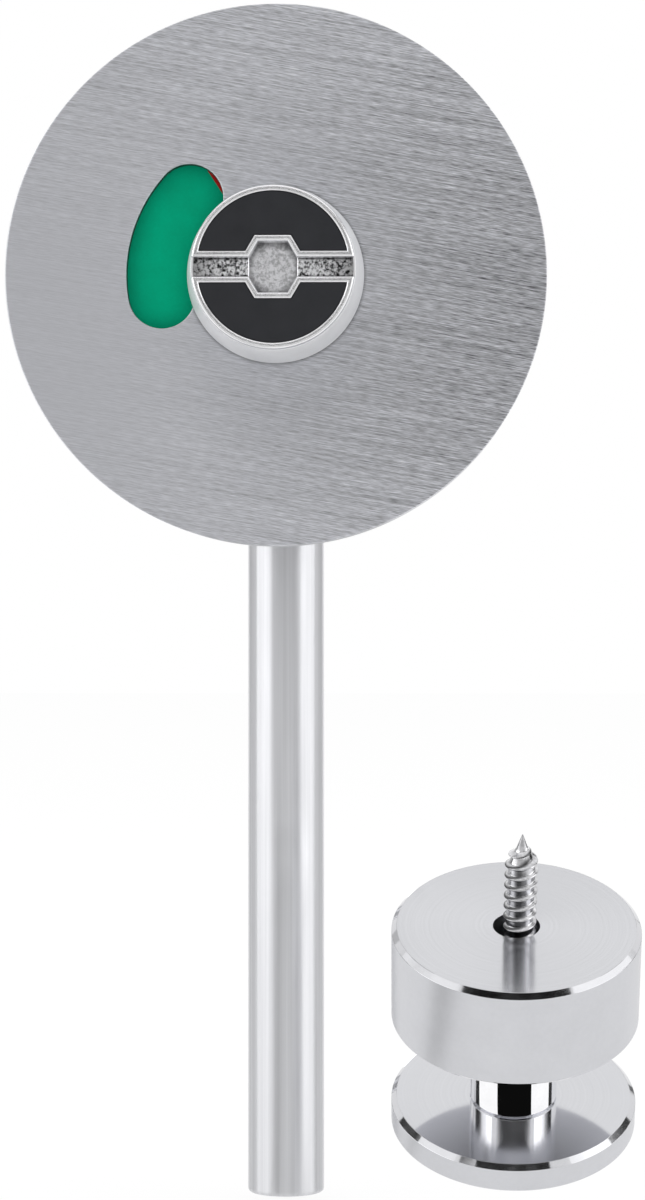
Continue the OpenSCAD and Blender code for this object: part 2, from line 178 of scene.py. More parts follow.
def finish_by_slope(ob, face, side, chamfer):
    """Flat faces, walls and bevels of a turned piece each have their own finish."""
    ob.data.materials.clear()
    for mat in (face, side, chamfer):
        ob.data.materials.append(mat)
    for p in ob.data.polygons:
        slope = abs(p.normal.z)
        if slope > FLAT:
            p.material_index = 0
        elif slope < WALL:
            p.material_index = 1
        else:
            p.material_index = 2


def arc(r, start, turn, n, centre=(0.0, 0.0)):
    """Points along an arc, without its end."""
    angles = [start + turn * k / n for k in range(n)]
    return [(centre[0] + r * math.cos(a), centre[1] + r * math.sin(a)) for a in angles]


def circle(r, n, sign=1):
    """Points of a circle, counter-clockwise, or clockwise with a sign of -1."""
    return arc(r, 0.0, sign * 2 * math.pi, n)


def lathe(bm, profile, segs, closed=False):
    """Turns a profile of (radius, height) points about z; a radius of 0 closes to a point."""
    rows = []
    for r, z in profile:
        ring = circle(r, segs) if r else [(0, 0)]
        rows.append([bm.verts.new((x, y, z)) for x, y in ring])
    if closed:
        rows.append(rows[0])
    for a, b in zip(rows, rows[1:]):
        for k in range(segs):
            j = (k + 1) % segs
            if len(a) == 1:
                bm.faces.new((a[0], b[k], b[j]))
            elif len(b) == 1:
                bm.faces.new((a[k], b[0], a[j]))
            else:
                bm.faces.new((a[k], b[k], b[j], a[j]))
    return rows


def bridge(bm, rows):
    """Joins closed rows of as many points each by quads."""
    for a, b in zip(rows, rows[1:]):
        for i in range(len(a)):
            bm.faces.new((a[i - 1], a[i], b[i], b[i - 1]))


def corner(r, z, radius, n):
    """Points of a quarter round at an outer top rim."""
    middle = (r - radius, z - radius)
    return arc(radius, 0.0, math.pi / 2, n, middle) + [(r - radius, z)]


def eased(profile, radius, n=3):
    """Rounds the corners of a closed profile; a point beside each round keeps the flats flat."""
    beside = radius * 0.3
    pts = []
    for i, point in enumerate(profile):
        q = Vector(point)
        a = (Vector(profile[i - 1]) - q).normalized()
        b = (Vector(profile[(i + 1) % len(profile)]) - q).normalized()
        half = a.angle(b) / 2
        reach = radius / math.tan(half)
        mid = q + (a + b).normalized() * (radius / math.sin(half))
        first = q + a * reach - mid
        last = q + b * reach - mid
        pts.append(q + a * (reach + beside))
        pts += [mid + first.lerp(last, k / n).normalized() * radius for k in range(n + 1)]
        pts.append(q + b * (reach + beside))
    return pts


def left_of(edge):
    """The unit vector to the left of an edge."""
    along = edge.normalized()
    return Vector((-along.y, along.x))


def inset(loop, d):
    """Moves a closed loop to its left by d, with mitred corners."""
    out = []
    for i in range(len(loop)):
        q = Vector(loop[i])
        n0 = left_of(q - Vector(loop[i - 1]))
        n1 = left_of(Vector(loop[(i + 1) % len(loop)]) - q)
        mitre = (n0 + n1).normalized()
        out.append(q + mitre * (d / max(0.5, mitre.dot(n0))))
    return out


def ring_edges(bm, row):
    """The edges of a closed row of points."""
    return [bm.edges.get((row[i - 1], row[i])) for i in range(len(row))]


def plate(bm, loops, low, top, rim=None, n=4):
    """A flat piece between two heights.

    Each loop has the material on its left and its own rounding of the top edge, and a ring beside the
    round keeps the top flat. A rim gives the lower and upper rows of an outer wall that is already there.
    """
    lower, upper = [], []
    if rim:
        lower += ring_edges(bm, rim[0])
        upper += ring_edges(bm, rim[1])
    for loop, rounding in loops:
        levels = [(0, low), (0, top - rounding)]
        for k in range(1, n + 1):
            a = math.pi / 2 * k / n
            levels.append((rounding * (1 - math.cos(a)), top - rounding + rounding * math.sin(a)))
        beside = rounding * 1.2
        levels.append((beside, top))
        rings = []
        for d, z in levels:
            outline = inset(loop, d) if d else loop
            rings.append([bm.verts.new((v[0], v[1], z)) for v in outline])
        bridge(bm, rings)
        lower += ring_edges(bm, rings[0])
        upper += ring_edges(bm, rings[-1])
    for edges in (lower, upper):
        bmesh.ops.triangle_fill(bm, use_beauty=True, use_dissolve=False, edges=edges)


def kidney(mean, width, mid, span, n_arc=40, n_cap=28):
    """The window's outline, counter-clockwise: outer arc, end cap, inner arc, end cap."""
    first, last = mid - span / 2, mid + span / 2
    half = width / 2
    first_end = (mean * math.cos(first), mean * math.sin(first))
    last_end = (mean * math.cos(last), mean * math.sin(last))
    pts = arc(mean + half, first, span, n_arc)
    pts += arc(half, last, math.pi, n_cap, last_end)
    pts += arc(mean - half, last, -span, n_arc)
    pts += arc(half, first + math.pi, math.pi, n_cap, first_end)
    return pts


# Material tools
class Graph:
    """One material with a principled shader, and short calls for the nodes that feed it."""

    def __init__(self, name, color, rough, metallic=1.0, **sockets):
        self.mat = bpy.data.materials.new(name)
        self.mat.use_nodes = True
        self.tree = self.mat.node_tree
        self.bsdf = self.tree.nodes["Principled BSDF"]
        self.color = color
        self.bsdf.inputs["Base Color"].default_value = (*color, 1)
        self.bsdf.inputs["Roughness"].default_value = rough
        self.bsdf.inputs["Metallic"].default_value = metallic
        for key, value in sockets.items():
            self.bsdf.inputs[key.replace("_", " ")].default_value = value

    def add(self, kind, inputs=(), **props):
        """A node with its settings, and its inputs linked or set."""
        node = self.tree.nodes.new("ShaderNode" + kind)
        for key, value in props.items():
            setattr(node, key, value)
        for key, value in dict(inputs).items():
            if isinstance(value, bpy.types.NodeSocket):
                self.tree.links.new(value, node.inputs[key])
            else:
                node.inputs[key].default_value = value
        return node

    def feed(self, value, socket):
        """Links a value to the shader."""
        self.tree.links.new(value, self.bsdf.inputs[socket])

    def place(self):
        """The place on the piece, in its own frame."""
        return self.add("TexCoord").outputs["Object"]

    def math(self, operation, a, b):
        """One sum, difference, product or the like of two values."""
        return self.add("Math", {0: a, 1: b}, operation=operation).outputs[0]

    def noise(self, feature, detail=2.0, rough=0.5, rotation=(0, 0, 0)):
        """Noise whose grains have the given sizes in metres along x, y and z."""
        mapping = {"Vector": self.place(), "Scale": feature, "Rotation": rotation}
        at = self.add("Mapping", mapping, vector_type="TEXTURE").outputs[0]
        texture = {"Vector": at, "Scale": 1.0, "Detail": detail, "Roughness": rough}
        return self.add("TexNoise", texture).outputs["Fac"]

    def off_axis(self, axis="Z"):
        """The distance from an axis, and the place along it."""
        xyz = self.add("SeparateXYZ", {0: self.place()}).outputs
        flat = self.add("CombineXYZ", {0: xyz["X"], 1: xyz["Y" if axis == "Z" else "Z"]}).outputs[0]
        return self.add("VectorMath", {0: flat}, operation="LENGTH").outputs["Value"], xyz[axis]

    def rings(self, feature, axis="Z", drift=0.6):
        """Noise in rings round an axis, on flat faces and on the sides, as a lathe leaves them."""
        off, along = self.off_axis(axis)
        w = self.add("Math", {0: along, 1: drift, 2: off}, operation="MULTIPLY_ADD").outputs[0]
        w = self.math("MULTIPLY", w, 1 / feature)
        texture = {"W": w, "Scale": 1.0, "Detail": 2.0}
        return self.add("TexNoise", texture, noise_dimensions="1D").outputs["Fac"]

    def mix(self, a, b, share):
        """A weighted sum of two values."""
        low = self.math("MULTIPLY", a, 1 - share)
        return self.add("Math", {0: b, 1: share, 2: low}, operation="MULTIPLY_ADD").outputs[0]

    def span(self, value, low, high, start=0.3, end=0.7):
        """A level from low to high while the value goes from start to end."""
        limits = {"From Min": start, "From Max": end, "To Min": low, "To Max": high}
        return self.add("MapRange", {"Value": value, **limits}).outputs[0]

    def near(self, centre, reach, at_centre, away, start=0.0):
        """A level that changes with the distance from a point."""
        far = self.add("VectorMath", {0: self.place(), 1: centre}, operation="DISTANCE").outputs["Value"]
        return self.span(far, at_centre, away, start, reach)

    def aside(self, axis, start, reach, at_middle, away):
        """A level that changes with the distance from the middle plane across an axis."""
        xyz = self.add("SeparateXYZ", {0: self.place()}).outputs
        off = self.add("Math", {0: xyz[axis]}, operation="ABSOLUTE").outputs[0]
        return self.span(off, at_middle, away, start, reach)

    def shade(self, value, dark, light):
        """Base colour times a level that follows the value from dark to light."""
        low = tuple(c * dark for c in self.color)
        high = tuple(min(1.0, c * light) for c in self.color)
        ramp = {"Factor": self.span(value, 0.0, 1.0), "A": (*low, 1), "B": (*high, 1)}
        self.feed(self.add("Mix", ramp, data_type="RGBA").outputs["Result"], "Base Color")

    def level(self, value):
        """Base colour times a value."""
        node = self.add("VectorMath", {0: self.color, "Scale": value}, operation="SCALE")
        self.feed(node.outputs[0], "Base Color")

    def gloss(self, value, low, high):
        """Roughness from low to high with the value."""
        self.feed(self.span(value, low, high), "Roughness")

    def bump(self, value, depth, strength):
        """Small relief of the given depth in metres."""
        node = self.add("Bump", {"Height": value, "Strength": strength, "Distance": depth})
        self.feed(node.outputs[0], "Normal")

    def grain(self, uv=None, axis="Z"):
        """The direction along which the finish was drawn."""
        round_axis = {"direction_type": "RADIAL", "axis": axis}
        along_map = {"direction_type": "UV_MAP", "uv_map": uv}
        self.feed(self.add("Tangent", **(along_map if uv else round_axis)).outputs[0], "Tangent")


def brushed(name, color, rough, tilt, shade_centre, smooth, crease):
    """Straight-brushed sheet: streaks that are faintest at one spot, a patch of painted shade, and a ring
    of painted contact shade at the crease.
    """
    g = Graph(name, color, rough, Anisotropic=0.85)
    turn = (0, 0, tilt)
    fine = g.noise((1.2 * MM, 0.1 * MM, 1.2 * MM), detail=2.0, rough=0.55, rotation=turn)
    coarse = g.noise((10 * MM, 0.12 * MM, 10 * MM), detail=2.0, rough=0.5, rotation=turn)
    lines = g.mix(fine, coarse, share=0.4)
    depth = g.near(smooth, reach=46 * MM, at_centre=0.5, away=3.2, start=7 * MM)
    # Painted shade: the sheet darkens towards one spot.
    painted_shade = g.near(shade_centre, reach=36 * MM, at_centre=0.72, away=1.0)
    streaks = g.math("MULTIPLY", g.math("SUBTRACT", lines, 0.5), depth)
    # Painted contact shade: a thin dark ring round the crease at the knob's base.
    painted_contact_shade = g.near((0, 0, ROSE_H), reach=crease + 0.3 * MM, at_centre=0.6, away=1.0, start=crease)
    g.level(g.math("MULTIPLY", g.math("ADD", painted_shade, streaks), painted_contact_shade))
    g.gloss(lines, rough - 0.05, rough + 0.08)
    g.bump(streaks, depth=0.008 * MM, strength=0.5)
    g.grain(uv="brush")
    return g.mat


def drawn(name, color, rough, dark, length):
    """Ground round bar: blurred along its length, with faint streaks, and painted shade that darkens it
    towards the tip.
    """
    g = Graph(name, color, rough, Anisotropic=0.95, Anisotropic_Rotation=0.25)
    streak = g.noise((0.4 * MM, 0.4 * MM, 60 * MM), detail=3.0, rough=0.55)
    cloud = g.noise((3 * MM, 3 * MM, 9 * MM))
    # Painted shade: darker towards the tip.
    painted_shade_to_tip = g.near((0, 0, 0), reach=length, at_centre=1.0, away=0.88, start=0.4 * length)
    g.level(g.math("MULTIPLY", g.span(g.mix(streak, cloud, share=0.2), dark, 1.05), painted_shade_to_tip))
    g.gloss(cloud, rough * 0.95, rough * 1.05)
    g.bump(streak, depth=0.002 * MM, strength=0.5)
    g.grain()
    return g.mat


def pitted(name, color, rough, feature, dark, depth, middle):
    """A raw cast floor, pitted light and dark: the graph, and its level in the pits."""
    g = Graph(name, color, rough)
    pits = g.noise((feature,) * 3, detail=3.0, rough=0.65)
    g.gloss(pits, rough + 0.1, rough - 0.1)
    g.bump(pits, depth, strength=0.8)
    half = 0.085
    return g, g.span(pits, dark, 1.0, start=middle - half, end=middle + half)


def slot_floor(name):
    """Painted shade darkens the floor along the slot's walls, it is also darker towards its ends, and a
    painted highlight brightens its edge at the knob's side.
    """
    g, pits = pitted(name, (0.94, 0.94, 0.96), 0.4,
                     feature=0.30 * MM, dark=0.03, depth=0.06 * MM, middle=0.472)
    centre = (0, 0, SLOT_FLOOR_Z)
    # Painted shade along the slot's walls.
    walls = g.aside("Y", start=SLOT_HALF - 0.26 * MM, reach=SLOT_HALF - 0.02 * MM, at_middle=1.0, away=0.12)
    ends = g.near(centre, reach=KNOB_FACE_R - 0.3 * MM, at_centre=1.0, away=0.5, start=HEX_AF)
    # Painted highlight: a bright band at the floor's edge by the knob's side.
    edge = g.near(centre, reach=KNOB_FACE_R - 0.12 * MM, at_centre=0.0, away=1.0,
                  start=KNOB_FACE_R - 0.18 * MM)
    shaded = g.math("MULTIPLY", pits, g.math("MULTIPLY", walls, ends))
    g.level(g.math("MAXIMUM", shaded, edge))
    return g.mat


def socket_floor(name):
    """Painted shade that darkens the floor towards the socket's walls."""
    g, pits = pitted(name, (0.94, 0.94, 0.965), 0.45,
                     feature=0.32 * MM, dark=0.6, depth=0.03 * MM, middle=0.485)
    # Painted shade towards the socket's walls.
    walls = g.near((0, 0, SOCKET_FLOOR_Z), reach=2.6 * MM, at_centre=1.0, away=0.2, start=1.8 * MM)
    g.level(g.math("MULTIPLY", pits, walls))
    return g.mat


def turned(name, color, rough, ring, depth, aniso, dark, axis="Z"):
    """Lathe-turned metal with fine rings."""
    g = Graph(name, color, rough, Anisotropic=aniso, Anisotropic_Rotation=0.25)
    rings = g.rings(ring, axis)
    cloud = g.noise((4 * MM,) * 3, detail=3.0)
    g.shade(g.mix(rings, cloud, share=0.35), dark, 1.04)
    g.gloss(cloud, rough * 0.92, rough * 1.08)
    g.bump(rings, depth, strength=0.6)
    g.grain(axis=axis)
    return g.mat


def cloudy(name, color, rough, feature=3 * MM, metallic=0.0, dark=0.9, depth=0.01 * MM, spread=0.08,
           **sockets):
    """An even finish with soft cloudy changes and a fine orange-peel bump."""
    g = Graph(name, color, rough, metallic, **sockets)
    cloud = g.noise((feature,) * 3, detail=4.0)
    skin = g.noise((feature * 0.12,) * 3)
    g.shade(g.mix(cloud, skin, share=0.3), dark, 1.05)
    g.gloss(cloud, max(0.02, rough - spread), rough + spread)
    g.bump(skin, depth, strength=0.5)
    return g.mat


def painted_shade_turned(name, color, rough, centre, start, reach):
    """Turned metal with painted shade that darkens it towards a centre."""
    g = Graph(name, color, rough)
    cloud = g.noise((4 * MM,) * 3, detail=3.0)
    # Painted shade: darker towards the centre.
    painted_shade_level = g.near(centre, reach, at_centre=0.42, away=1.0, start=start)
    g.level(g.math("MULTIPLY", painted_shade_level, g.span(cloud, 0.95, 1.03)))
    g.gloss(cloud, rough * 0.92, rough * 1.08)
    return g.mat


def grooved(name, color, rough, core, crest):
    """Bright thread with dark roots and a bright point."""
    g = Graph(name, color, rough)
    off, _ = g.off_axis()
    root = g.span(off, 0.18, 1.0, core, core + 0.7 * (crest - core))
    point = g.span(off, 1.0, 0.0, 0.8 * core, 0.97 * core)
    blot = g.span(g.noise((0.7 * MM,) * 3, detail=3.0), 0.6, 1.1)
    g.level(g.math("MULTIPLY", g.math("MAXIMUM", root, point), blot))
    g.gloss(blot, rough * 0.8, rough * 1.3)
    return g.mat


# Materials of the steel pieces
# The rose: painted shade darkens its right side, and painted contact shade rings the knob's base.
ROSE = brushed("rose_brushed", (0.685, 0.692, 0.73), 0.42, tilt=math.radians(-10),
               shade_centre=(24 * MM, -2 * MM, ROSE_H), smooth=(-24 * MM, -6 * MM, ROSE_H), crease=KNOB_BASE_R)
BAR = drawn("bar_drawn", (0.82, 0.825, 0.85), 0.40, dark=0.88, length=BAR_LENGTH)
KEEP_FACE = turned("keep_turned", (0.665, 0.67, 0.695), 0.17,
                   ring=0.25 * MM, depth=0.0001 * MM, aniso=0.85, dark=0.995)
FLANGE_FACE = turned("flange_turned", (0.66, 0.665, 0.69), 0.09,
                     ring=0.25 * MM, depth=0.0001 * MM, aniso=0.85, dark=0.995)
# The drum's underside: painted shade darkens it towards the neck.
KEEP_UNDER = painted_shade_turned("keep_under", (0.54, 0.545, 0.58), 0.24,
                     centre=(0, 0, -KEEP_BASE), start=NECK_R, reach=KEEP_R)
ROSE_RIM = turned("rose_rim", (0.60, 0.607, 0.64), 0.34,
                  ring=0.2 * MM, depth=0.003 * MM, aniso=0.5, dark=0.94)
# Painted shade: the window's walls are coloured dark for the shade inside the window's recess.
WINDOW_WALL_SHADE = cloudy("window_wall_shade", (0.10, 0.10, 0.105), 0.5, feature=1 * MM, metallic=1.0)
KEEP_SIDE = cloudy("keep_side", (0.62, 0.625, 0.65), 0.32,
                   feature=4 * MM, metallic=1.0, dark=0.97, depth=0.002 * MM, spread=0.03)
MIRROR = cloudy("neck_polished", (0.92, 0.92, 0.935), 0.04,
                feature=2 * MM, metallic=1.0, dark=0.97, depth=0.001 * MM, spread=0.02)
CHAMFER = cloudy("keep_chamfer", (0.64, 0.643, 0.665), 0.08,
                 feature=2 * MM, metallic=1.0, dark=0.97, depth=0.001 * MM, spread=0.03)
KNOB = cloudy("knob_satin", (0.92, 0.92, 0.935), 0.24,
              metallic=1.0, dark=0.95, depth=0.004 * MM, spread=0.03)
KNOB_SIDE = cloudy("knob_side", (0.80, 0.805, 0.82), 0.48, metallic=0.25, dark=0.96, depth=0.004 * MM)
SLOT_CAST = slot_floor("slot_cast")
SOCKET_CAST = socket_floor("socket_cast")

# Materials of the inlays, the disc and the inner pieces
INLAY = cloudy("inlay_black", (0.018, 0.019, 0.023), 0.45,
               feature=2 * MM, dark=0.85, depth=0.006 * MM, Specular_IOR_Level=0.3)
GREEN = cloudy("sector_green", (0.0006, 0.40, 0.215), 0.6,
               feature=2.5 * MM, dark=0.85, Specular_IOR_Level=0.03)
RED = cloudy("sector_red", (0.46, 0.018, 0.016), 0.6,
             feature=2.5 * MM, dark=0.85, Specular_IOR_Level=0.03)
DISC = cloudy("disc_white", (0.80, 0.80, 0.78), 0.5)
ACETAL = cloudy("acetal", (0.80, 0.79, 0.75), 0.42)
PLATED = cloudy("zinc_plated", (0.62, 0.63, 0.64), 0.36,
                feature=2 * MM, metallic=1.0, dark=0.90, depth=0.001 * MM, spread=0.05)
SCREW = grooved("screw_bright", (0.76, 0.76, 0.78), 0.15, core=WOOD_CORE, crest=WOOD_R)
SPRING = cloudy("spring_dark", (0.12, 0.12, 0.125), 0.38, feature=1.5 * MM, metallic=1.0, dark=0.8)
BRASS = cloudy("brass_turned", (0.62, 0.44, 0.17), 0.38, feature=2 * MM, metallic=1.0, dark=0.88)
INNER_ROSE = turned("inner_rose_satin", (0.60, 0.60, 0.615), 0.32,
                    ring=0.25 * MM, depth=0.0004 * MM, aniso=0.5, dark=0.94, axis="Y")
HUB = turned("hub_satin", (0.66, 0.66, 0.67), 0.31,
             ring=0.25 * MM, depth=0.0004 * MM, aniso=0.5, dark=0.95, axis="Y")


def dress(mat, *names):
    """Gives solids that show as they are their material."""
    for name in names:
        mesh = NODES[name].data
        mesh.materials.clear()
        mesh.materials.append(mat)


dress(PLATED, "outer_base", "inner_base", "fixing_screws", "spindle")
dress(ACETAL, "outer_bush", "inner_bush", "thrust_washer")
dress(SPRING, "disc_spring", "outer_retaining_ring", "inner_retaining_ring", "stop_pin")
dress(SPRING, "bar_set_screw", "spindle_set_screw")
dress(BRASS, "fixing_sleeves")
dress(GREEN, "vacant_sector")
dress(RED, "engaged_sector")
dress(DISC, "indicator_disc")
dress(HUB, "turn_hub")
dress(INNER_ROSE, "inner_rose")


# Outer rose
def brush_uv(ob):
    """Runs the finish's grain across the rose."""
    uv = ob.data.uv_layers.new(name="brush")
    scale = 10
    for loop in ob.data.loops:
        co = ob.data.vertices[loop.vertex_index].co
        uv.data[loop.index].uv = (co.y * scale, co.x * scale)


bm = bmesh.new()
window = kidney(WIN_R, WIN_W, WIN_MID, WIN_SPAN)
skirt = [(ROSE_R - ROSE_WALL, ROSE_H - ROSE_WALL), (ROSE_R - ROSE_WALL, 0), (ROSE_R, 0)]
skirt += corner(ROSE_R, ROSE_H, ROSE_EDGE, n=8)
skirt.append((ROSE_R - 1.3 * ROSE_EDGE, ROSE_H))
rows = lathe(bm, skirt, segs=256)
plate(bm, [(circle(HOLE_R, n=96, sign=-1), HOLE_EDGE), (window[::-1], WIN_EDGE)],
      ROSE_H - ROSE_WALL, ROSE_H, rim=(rows[0], rows[-1]))
rose = piece("rose_cover", bm, ROSE, OUT, "bolt_case", ["outer_rose"])
brush_uv(rose)
for mat in (WINDOW_WALL_SHADE, ROSE_RIM):
    rose.data.materials.append(mat)
past_hole = HOLE_R + 0.5 * MM
past_window = ROSE_R - 5 * MM
# The window's steep walls take the painted shade, the outer skirt's the turned rim.
for p in rose.data.polygons:
    off = p.center.xy.length
    if abs(p.normal.z) < STEEP and off > past_hole:
        p.material_index = 1 if off < past_window else 2


# Release knob
def half_moon(r, edge, lip, n=72):
    """Half of the knob's face above the slot, drawn in by the lip along the slot and the hexagon."""
    flat = HEX_AF / 2 + lip
    tip = flat / math.cos(HEX_HALF_ANGLE)
    a = math.asin(edge / r)
    pts = arc(r, a, math.pi - 2 * a, n) + [(-r * math.cos(a), edge)]
    x_hex = tip - edge / math.sqrt(3)
    return pts + [(-x_hex, edge), (-tip / 2, flat), (tip / 2, flat), (x_hex, edge)]


def turn_half(loop):
    """A loop turned by half a turn."""
    return [(-x, -y) for x, y in loop]


web = half_moon(KNOB_FACE_R, SLOT_HALF, 0)
pocket = half_moon(KNOB_FACE_R - BEVEL - RIM_W, SLOT_HALF + LIP_W, LIP_W)
inlay = inset(pocket, INLAY_GAP)
bm = bmesh.new()
for outer, inner in ((web, pocket), (turn_half(web), turn_half(pocket))):
    plate(bm, [(outer, WEB_EDGE), (inner[::-1], POCKET_EDGE)], SLOT_FLOOR_Z - WEB_SINK, KNOB_TOP)
body = [(0, SOCKET_FLOOR_Z), (KNOB_SIDE_R, SOCKET_FLOOR_Z), (KNOB_SIDE_R, SLOT_FLOOR_Z - KNOB_EDGE),
        (KNOB_BASE_R, KNOB_Z + KNOB_EDGE), (KNOB_BASE_R - KNOB_EDGE, KNOB_Z)]
shank = [(SHANK_R, KNOB_Z), (SHANK_R, GROOVE_TOP), (GROOVE_R, GROOVE_TOP), (GROOVE_R, GROOVE_LOW),
         (SHANK_R, GROOVE_LOW), (SHANK_R, SHANK_END + SHANK_BEVEL),
         (SHANK_R - SHANK_BEVEL, SHANK_END), (0, SHANK_END)]
lathe(bm, body + shank, segs=160)
knob = piece("knob_body", bm, KNOB, OUT, "bar_and_spindle", ["release_knob"])
for mat in (KNOB_SIDE, SOCKET_CAST):
    knob.data.materials.append(mat)
level_with = 0.01 * MM
for p in knob.data.polygons:
    if abs(p.center.z - SOCKET_FLOOR_Z) < level_with and p.normal.z > UPWARD:
        p.material_index = 2
    else:
        p.material_index = 1 if p.center.z < SLOT_FLOOR_Z else 0

hex_tip = HEX_AF / 2 / math.cos(HEX_HALF_ANGLE)
hex_end = hex_tip - SLOT_HALF / math.sqrt(3)
quarter = [(hex_end, SLOT_HALF), (hex_tip / 2, HEX_AF / 2)]
socket = quarter + [(-x, y) for x, y in quarter[::-1]]
socket += turn_half(socket)
bm = bmesh.new()
plate(bm, [(circle(KNOB_SIDE_R, n=128), KNOB_EDGE), (socket[::-1], HEX_EDGE)],
      SOCKET_FLOOR_Z, SLOT_FLOOR_Z)
slot_bed = piece("knob_floor", bm, SLOT_CAST, OUT, "bar_and_spindle")
finish_by_slope(slot_bed, SLOT_CAST, KNOB, KNOB)

bm = bmesh.new()
for outline in (inlay, turn_half(inlay)):
    plate(bm, [(outline, INLAY_EDGE)], KNOB_TOP - POCKET_D, KNOB_TOP - INLAY_SINK)
piece("knob_inlays", bm, INLAY, OUT, "bar_and_spindle", ["release_inlays"])

# Swing bar, with points beside its round that keep the side and the tip straight
bm = bmesh.new()
stick = [(0, 0), (BAR_R, 0), (BAR_R, 1 * MM), (BAR_R, BAR_LENGTH - BAR_EDGE - 0.05 * MM)]
stick += corner(BAR_R, BAR_LENGTH, BAR_EDGE, n=6)
stick += [(BAR_R - BAR_EDGE - 0.15 * MM, BAR_LENGTH), (0, BAR_LENGTH)]
lathe(bm, stick, segs=192)
bar_place = INN @ Matrix.Translation((0, -BAR_SEAT, BAR_Z)) @ Matrix.Rotation(math.pi / 2, 4, "X")
piece("bar_round", bm, BAR, bar_place, "bar_and_spindle", ["swing_bar"])


# Keep
def spool(low, high):
    """Rim of a disc of the keep, from its top face round to its lower face, with a smaller lower bevel."""
    small = KEEP_BEVEL / 2
    upper = [(KEEP_R - KEEP_BEVEL, high), (KEEP_R, high - KEEP_BEVEL)]
    return upper + [(KEEP_R, low + small), (KEEP_R - small, low)]


def keep_disc(name, profile, nodes, face):
    """A disc of the keep, with its own finish on the top, the side, the bevels and underneath."""
    bm = bmesh.new()
    lathe(bm, eased(profile, KEEP_EDGE), segs=224, closed=True)
    ob = piece(name, bm, face, KEEP, "bolt_case", nodes)
    finish_by_slope(ob, face, KEEP_SIDE, CHAMFER)
    ob.data.materials.append(KEEP_UNDER)
    for p in ob.data.polygons:
        if p.normal.z < -FLAT:
            p.material_index = 3


drum_hole = [(KEEP_HOLE_R, -KEEP_BASE), (KEEP_HOLE_R, 0)]
keep_disc("keep_drum", drum_hole + spool(-KEEP_BASE, 0), ["keep_base"], KEEP_FACE)

bm = bmesh.new()
stem = [(KEEP_HOLE_R, FLANGE_Z), (KEEP_HOLE_R, -KEEP_BASE), (NECK_R, -KEEP_BASE),
        (NECK_R, FLANGE_Z + NECK_BEVEL), (NECK_R - NECK_BEVEL, FLANGE_Z)]
lathe(bm, eased(stem, NECK_EDGE), segs=160, closed=True)
piece("keep_stem", bm, MIRROR, KEEP, "bolt_case", ["keep_neck"])

sink_r = WOOD_HEAD + HEAD_GAP
sink = [(sink_r, -KEEP_H), (KEEP_HOLE_R, -KEEP_H + sink_r - KEEP_HOLE_R), (KEEP_HOLE_R, FLANGE_Z)]
keep_disc("keep_foot", sink + spool(-KEEP_H, FLANGE_Z), ["keep_flange"], FLANGE_FACE)


# The keep's wood screw
def rise(value, start, reach):
    """From 0 at the start to 1 after the reach."""
    return min(1.0, max(0.0, (value - start) / reach))


def wood_radius(z, turn):
    """A slim point, then the thread starts at once on the widening core."""
    below = (WOOD_OUT - z) / WOOD_POINT
    slim = min(SLIM_SHARE, SLIM_SLOPE * below)
    wide = WIDE_SHARE * rise(below, WIDE_FROM, WIDE_OVER)
    core = WOOD_TIP + WOOD_CORE * (slim + wide)
    thread = rise(z, WOOD_START, WOOD_PITCH) * rise(below, THREAD_FROM, THREAD_OVER)
    place = (z / WOOD_PITCH - turn) % 1.0
    flank = max(0.0, 1 - abs(place - 0.5) / RIDGE_HALF)
    rounded = flank * flank * (3 - 2 * flank)
    ridge = (flank + rounded) / 2
    crest = min(WOOD_R, core + WOOD_RIDGE) - core
    return core + crest * thread * min(1.0, ridge * RIDGE_FLAT)


WOOD_COLUMNS = 56
WOOD_STEPS = 260
turns = [k / WOOD_COLUMNS for k in range(WOOD_COLUMNS)]
head_z = -KEEP_H + HEAD_GAP
sections = [(head_z, [WOOD_HEAD] * WOOD_COLUMNS)]
sections.append((head_z + WOOD_HEAD - WOOD_CORE, [WOOD_CORE] * WOOD_COLUMNS))
for k in range(WOOD_STEPS + 1):
    z = WOOD_START + WOOD_THREAD * k / WOOD_STEPS
    sections.append((z, [wood_radius(z, turn) for turn in turns]))
bm = bmesh.new()
rows = []
for z, radii in sections:
    lean = WOOD_LEAN * (z / KEEP_H + 1)
    row = []
    for turn, r in zip(turns, radii):
        a = 2 * math.pi * turn
        row.append(bm.verts.new((r * math.cos(a) + lean, r * math.sin(a), z)))
    rows.append(row)
bridge(bm, rows)
bm.faces.new(rows[0][::-1])
bm.faces.new(rows[-1])
piece("keep_wood_screw", bm, SCREW, KEEP, "bolt_case", ["keep_screw"], sharp=50)


# Stage tools
def bare_material(name):
    """A material without nodes but for its output: the material, its tree and the output's surface."""
    mat = bpy.data.materials.new(name)
    mat.use_nodes = True
    tree = mat.node_tree
    tree.nodes.clear()
    return mat, tree, tree.nodes.new("ShaderNodeOutputMaterial").inputs["Surface"]


def seen_rays(tree):
    """1 for camera, glossy and transmission rays, and 0 for the rest."""
    path = tree.nodes.new("ShaderNodeLightPath")
    seen = path.outputs["Is Camera Ray"]
    for kind in ("Is Glossy Ray", "Is Transmission Ray"):
        either = tree.nodes.new("ShaderNodeMath")
        either.operation = "MAXIMUM"
        tree.links.new(seen, either.inputs[0])
        tree.links.new(path.outputs[kind], either.inputs[1])
        seen = either.outputs[0]
    return seen


def mix_shaders(tree, share, first, second):
    """The first shader, turning into the second with the share."""
    mix = tree.nodes.new("ShaderNodeMixShader")
    tree.links.new(share, mix.inputs["Fac"])
    tree.links.new(first.outputs[0], mix.inputs[1])
    tree.links.new(second.outputs[0], mix.inputs[2])
    return mix


